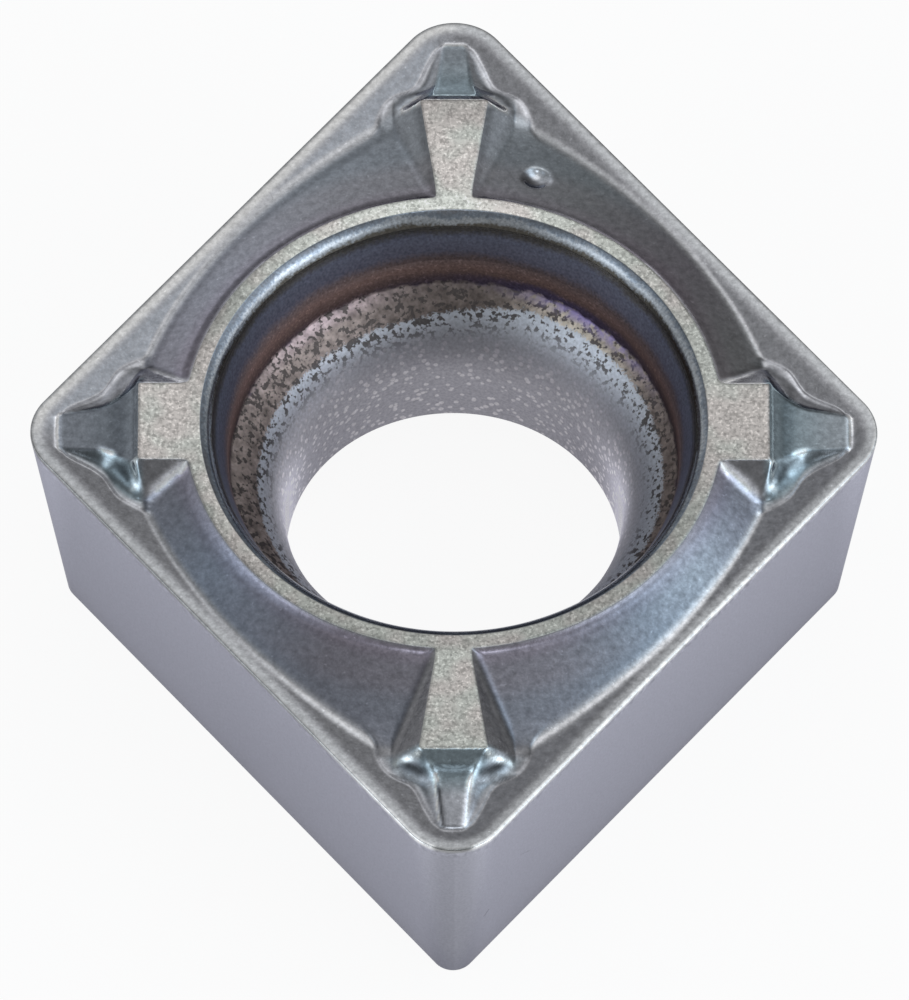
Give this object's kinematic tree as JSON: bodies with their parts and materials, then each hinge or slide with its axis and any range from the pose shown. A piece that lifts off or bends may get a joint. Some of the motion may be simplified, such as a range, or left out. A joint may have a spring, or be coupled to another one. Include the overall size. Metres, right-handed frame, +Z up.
{
  "type": "carbide turning insert",
  "caption": "Rhombic turning insert of sintered carbide with a moulded chipbreaker, a raised ring and spokes, and a countersunk screw hole.",
  "frame": {"origin": "centre of the flat bottom face, on the axis of the screw hole", "axes": "+Z up to the top face with the chipbreaker, +Y to one 80 degree corner, +X to one 100 degree corner"},
  "size_m": [0.012, 0.014, 0.0043],
  "materials": {
    "coated_carbide": "satin"
  },
  "bodies": {
    "root": {"insert_body": "coated_carbide"}
  },
  "joints": []
}
